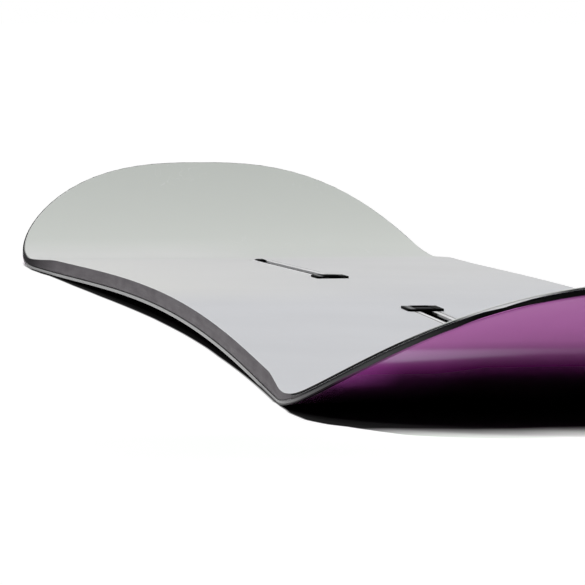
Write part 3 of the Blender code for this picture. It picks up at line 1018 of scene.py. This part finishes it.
def add_channel_lips(label, end):
    """Two rails flush with the deck. Their faces to the slot are ribbed below a plain nose."""
    stations = even_stations(PORT_END + GAP, CHANNEL_END, 10 * MM)
    spots = even_stations(PORT_END + 3 * MM, CHANNEL_END - 3 * MM, RIB_PITCH)
    ease, nose, setback = 0.14 * MM, 0.42 * MM, 0.3 * MM
    inner, outer, groove = SLOT_HALF_WIDTH, CHANNEL_HALF_WIDTH, 6.5 * MM
    profile = [
        (inner + setback, LIP_DEPTH), (inner + setback, nose + 0.1 * MM), (inner, nose), (inner, ease),
        (inner + ease, 0.0), (groove - 0.15 * MM, 0.0), (groove, 0.25 * MM), (groove + 0.15 * MM, 0.0),
        (outer - ease, 0.0), (outer, ease), (outer, LIP_DEPTH)]
    for side_name, side in SIDES:
        name = f"channel_rail_{label}_{side_name}"
        rail = bar_mesh(name, end, stations, [(side * y, below_deck(depth)) for y, depth in profile])
        places, tilts = [], []
        for s in spots:
            middle = end * s
            height = thickness(middle) - nose - RIB_HEIGHT / 2 - 0.05 * MM
            places.append(place(middle, side * (inner + RIB_DEPTH / 2), height))
            ahead = place(middle + MM, 0, thickness(middle + MM)) - place(middle, 0, thickness(middle))
            tilts.append(-math.atan2(ahead.z, ahead.x))
        mesh = joined_mesh(rail, rib_row_mesh(f"{name}_ribs", places, tilts, RAIL_GREY))
        add_piece(name, mesh, RAIL_GREY, "board", f"channel_lip_{label}_{side_name}")


def add_port_plug(label, end):
    """A raised bevelled cap with a shallow recess in its plateau, on a stem that fills the port."""
    stem_ends = (CHANNEL_START + GAP, PORT_END)
    under, ease = 0.05 * MM, 0.12 * MM
    rim, top = under + CAP_RIM_HEIGHT, under + CAP_HEIGHT

    def cap_loop(inset, half, radius):
        return rounded_loop(PLUG_START + inset, PLUG_END - inset, half, radius)

    stem = rounded_loop(*stem_ends, CAVITY_HALF_WIDTH - GAP, 0.6 * MM)
    collar = rounded_loop(*stem_ends, CHANNEL_HALF_WIDTH, 0.6 * MM)
    outer = cap_loop(0.0, CAP_HALF_WIDTH, 0.9 * MM)
    shoulder = cap_loop(ease, CAP_HALF_WIDTH - ease, 0.8 * MM)
    slope = cap_loop(0.25 * MM, CAP_PLATEAU_HALF_WIDTH + 0.2 * MM, 0.6 * MM)
    flat = cap_loop(0.45 * MM, CAP_PLATEAU_HALF_WIDTH, 0.6 * MM)
    recess = rounded_loop(PLUG_START + 0.8 * MM, PLUG_START + 13.0 * MM, 5.2 * MM, 0.7 * MM)
    sunk = rounded_loop(PLUG_START + 0.9 * MM, PLUG_START + 12.9 * MM, 5.1 * MM, 0.65 * MM)
    loops = [
        (stem, above_base(FLOOR_TOP + GAP)), (stem, below_deck(LIP_DEPTH)), (collar, below_deck(LIP_DEPTH)),
        (collar, below_deck(-under)), (outer, below_deck(-under)), (outer, below_deck(-rim + ease)),
        (shoulder, below_deck(-rim)), (slope, below_deck(-top + ease)), (flat, below_deck(-top)),
        (recess, below_deck(-top)), (sunk, below_deck(-top + 1.0 * MM))]
    name = f"port_cap_{label}"
    add_piece(name, stacked_mesh(name, end, loops), PLUG_BLACK, f"{label}_plug", f"port_plug_{label}")


def add_end_stop(label, end):
    """A stop with a foot in the track, a neck in the slot and a low bevelled head over the slot's end."""
    low, high = CHANNEL_END - STOP_LENGTH, CHANNEL_END
    half = 3.1 * MM
    foot = rounded_loop(low, high, CAVITY_HALF_WIDTH - GAP, 0.5 * MM)
    neck = rounded_loop(low, high, SLOT_HALF_WIDTH - 0.5 * MM, 0.5 * MM)
    head = rounded_loop(low - 0.6 * MM, high - 1.0 * MM, half, 0.7 * MM)
    crown = rounded_loop(low + 0.4 * MM, high - 2.2 * MM, half - 1.2 * MM, 0.5 * MM)
    flat = rounded_loop(low + 0.5 * MM, high - 2.3 * MM, half - 1.3 * MM, 0.5 * MM)
    loops = [
        (foot, above_base(FLOOR_TOP + GAP)), (foot, below_deck(LIP_DEPTH + GAP)),
        (neck, below_deck(LIP_DEPTH + GAP)), (neck, below_deck(-0.05 * MM)), (head, below_deck(-0.05 * MM)),
        (head, below_deck(-0.3 * MM)), (crown, below_deck(-0.75 * MM)), (flat, below_deck(-0.8 * MM))]
    name = f"slot_stop_{label}"
    add_piece(name, stacked_mesh(name, end, loops), PLUG_BLACK, "board", f"channel_stop_{label}")


def dress_board():
    add_deck_skin()
    add_running_base()
    for side_name, side in SIDES:
        add_steel_edge(side_name, side)
        add_sidewall(side_name, side)
    for label, end in ENDS:
        add_tip_rim(label, end)
        add_channel_lips(label, end)
        add_port_plug(label, end)
        add_end_stop(label, end)


dress_board()


# Carried-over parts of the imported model

# Each is given by the start of its nodes' names
NODE_FINISHES = {
    "lower_laminate": TINTED_LAMINATE, "upper_laminate": TINTED_LAMINATE, "core_inner": PALE_WOOD,
    "core_outer": PALE_WOOD, "core_middle": BROWN_WOOD, "core_block": BROWN_WOOD,
    "channel_floor": CHANNEL_ALUMINIUM, "channel_wall": RIM_BLACK}
for start, material in NODE_FINISHES.items():
    for name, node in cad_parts.items():
        if name.startswith(start):
            give_material(node.data, material)


# Floor, light and camera

# Where the painted shadow's border stands out from the board's outline, or in from it, and between which
# places
BORDER_SHIFTS = (
    (1.4 * MM, (-0.60, -0.57), (-0.53, -0.50)),
    (3.2 * MM, (-0.56, -0.38), (-0.26, -0.03)),
    (-0.7 * MM, (0.00, 0.10), (0.22, 0.28)),
    (-2.0 * MM, (0.575, 0.60), (0.66, 0.71)),
    (-4.4 * MM, (0.675, 0.712), (0.730, 0.760)),
    (-2.0 * MM, (0.700, 0.712), (0.745, 0.755)),
)
PHOTO_WIDTH = 585
FOCAL_PIXELS = 4787.63
SENSOR_WIDTH = 36.0
VIEWPOINT = (2.78508, -0.47416, 0.18277)
SUN_SPREAD = 14
FLOOR_REACH = 60.0
FLOOR_DROP = 0.1 * MM


def light_path(nodes):
    """The light path's outputs, and a mask of what is seen by the camera, in a mirror or through glass."""
    path = nodes.add("ShaderNodeLightPath")
    return path, path["Is Camera Ray"].at_least(path["Is Glossy Ray"].at_least(path["Is Transmission Ray"]))


def shadow_outline(x, reach):
    """Half the width of the floor's dark part: the sidecut or the tip's curve, and then the shifts."""
    power = 3.0
    sidecut = reach ** 2.0 * ((TIP_WIDTH - WAIST_WIDTH) / (2 * WIDEST ** 2)) + WAIST_WIDTH / 2
    past = ((reach - WIDEST) / tip_reach(1)).at_least(0.0)
    tip = (1.0 - past ** power).at_least(0.0) ** (1 / power) * (TIP_WIDTH / 2 + 2 * MM)
    outline = sidecut.at_most(tip)
    for shift, rise, fall in BORDER_SHIFTS:
        outline = outline + x.band(rise, fall) * shift
    return outline


def shadow_mask(x, reach, aside, camera_ray):
    """Is 1 under the board, where the shadow is painted. Its ends under the tips are a little different to
    the camera alone.
    """
    rounding = aside.ramp(0.080, 0.115, 0.0, 0.009).at_least(aside.ramp(0.062, 0.045, 0.0, 0.005))
    shown = (reach + rounding).fade(0.728, 0.788) * camera_ray
    hidden = reach.fade(0.720, 0.800) * (1.0 - camera_ray)
    across = (aside - shadow_outline(x, reach)).fade(-0.2 * MM, 1.4 * MM)
    return shown.at_least(hidden) * across * x.ramp(-0.606, -0.584)


def make_floor_material():
    """White to the camera and in reflections, a plain pale grey for the light that it gives back.

    Under the board a painted shadow deepens it to near black, so that the low gap and the lifted tips keep a
    deep shadow.
    Beside the near tip it is painted a little greener, and greener still to the camera next to the
    nose's shadow, to offset the purple light that the base throws there. Under each tip a narrow strip
    and a wider one at each side glow with no lamp, in reflections alone, and paint a pale band and
    a purple glow on the glossy base.
    """
    material = bpy.data.materials.new("studio_floor")
    material.use_nodes = True
    nodes = Nodes(material.node_tree)
    nodes.tree.nodes.remove(nodes.tree.nodes["Principled BSDF"])
    path, seen = light_path(nodes)
    camera_ray, glossy_ray = path["Is Camera Ray"], path["Is Glossy Ray"]
    x, y, _ = nodes.add("ShaderNodeTexCoord")["Object"].split()
    reach, aside = abs(x), abs(y)
    # Painted tints that offset the purple light the base throws on the floor near the nose
    beside_tip = x.band((0.72, 0.76), (0.83, 0.90)) * aside.fade(0.20, 0.30)
    closest = x.band((0.715, 0.725), (0.745, 0.790)) * aside.fade(0.04, 0.130) * camera_ray
    # The last coat is the painted shadow under the board
    colour = coats(
        seen.mix(0.9, 1.15), (beside_tip, (1.12, 1.19, 1.12)), (closest, (1.13, 1.38, 1.15)),
        (shadow_mask(x, reach, aside, camera_ray), 0.015))
    # Glowing patches with no lamp, seen only in reflections: they paint a pale band and a purple glow on the
    # base
    strip = (reach - aside.ramp(0.04, 0.11, 0.6980, 0.6895)).ramp(0.0, 0.003) * reach.fade(0.703, 0.706)
    strip = strip * aside.ramp(0.03, 0.11, 0.25, 1.0)
    purple_glow = reach.band((0.655, 0.672), (0.6895, 0.698)) * aside.ramp(0.100, 0.130)
    floor = nodes.add("ShaderNodeBsdfDiffuse", {"Color": colour})
    for mask, tint, strength in ((strip, (0.84, 0.86, 1.0), 0.55), (purple_glow, (1.0, 0.2, 0.95), 0.28)):
        glow = nodes.add("ShaderNodeEmission", {"Color": tint, "Strength": strength})
        floor = nodes.add("ShaderNodeMixShader", {"Fac": mask * glossy_ray, 1: floor, 2: glow})
    nodes.put(floor, nodes.tree.nodes["Material Output"].inputs["Surface"])
    return material


def add_floor():
    mesh = bpy.data.meshes.new("floor")
    turns = ((-1, -1), (1, -1), (1, 1), (-1, 1))
    mesh.from_pydata([(x * FLOOR_REACH, y * FLOOR_REACH, 0) for x, y in turns], [], [(0, 1, 2, 3)])
    mesh.materials.append(make_floor_material())
    floor = bpy.data.objects.new("floor", mesh)
    bpy.context.scene.collection.objects.link(floor)
    floor.location = (0, 0, -FLOOR_DROP)


def add_world():
    """A white backdrop that gives the scene only a faint fill light."""
    world = bpy.data.worlds.new("studio")
    world.use_nodes = True
    bpy.context.scene.world = world
    nodes = Nodes(world.node_tree)
    _, seen = light_path(nodes)
    nodes.tree.nodes.remove(nodes.tree.nodes["Background"])
    fill = nodes.add("ShaderNodeBackground", {"Color": 1.0, "Strength": 0.05})
    backdrop = nodes.add("ShaderNodeBackground", {"Color": 1.0, "Strength": 1.0})
    mixed = nodes.add("ShaderNodeMixShader", {"Fac": seen, 1: fill, 2: backdrop})
    nodes.put(mixed, nodes.tree.nodes["World Output"].inputs["Surface"])


def add_sun(name, towards, strength):
    light = bpy.data.lights.new(name, "SUN")
    light.energy = strength
    light.angle = math.radians(SUN_SPREAD)
    lamp = bpy.data.objects.new(name, light)
    lamp.rotation_mode = "QUATERNION"
    lamp.rotation_quaternion = Vector(towards).to_track_quat("-Z", "Y")
    bpy.context.scene.collection.objects.link(lamp)


def add_camera():
    """The photograph's viewpoint: low, at the nose end, a little to the board's left."""
    yaw, pitch, roll = -0.15170, 0.05881, 0.00104
    ahead = Vector((-math.cos(pitch) * math.cos(yaw), -math.cos(pitch) * math.sin(yaw), -math.sin(pitch)))
    right = ahead.cross(Vector((0, 0, 1))).normalized()
    up = right.cross(ahead)
    turned_right = right * math.cos(roll) + up * math.sin(roll)
    turned_up = up * math.cos(roll) - right * math.sin(roll)
    data = bpy.data.cameras.new("camera")
    data.sensor_width = SENSOR_WIDTH
    data.lens = SENSOR_WIDTH * FOCAL_PIXELS / PHOTO_WIDTH
    data.clip_start, data.clip_end = 0.1, 200.0
    camera = bpy.data.objects.new("camera", data)
    turned = Matrix((turned_right, turned_up, -ahead)).transposed()
    camera.matrix_world = Matrix.Translation(VIEWPOINT) @ turned.to_4x4()
    bpy.context.scene.collection.objects.link(camera)
    bpy.context.scene.camera = camera


add_floor()
add_world()
add_sun("softbox_near", (-0.67, 0.10, -0.74), 0.95)
add_sun("softbox_middle", (-0.35, 0.58, -0.73), 1.20)
add_sun("softbox_overhead", (-0.12, 0.15, -0.98), 1.05)
add_camera()
bpy.context.scene.view_settings.view_transform = "Standard"
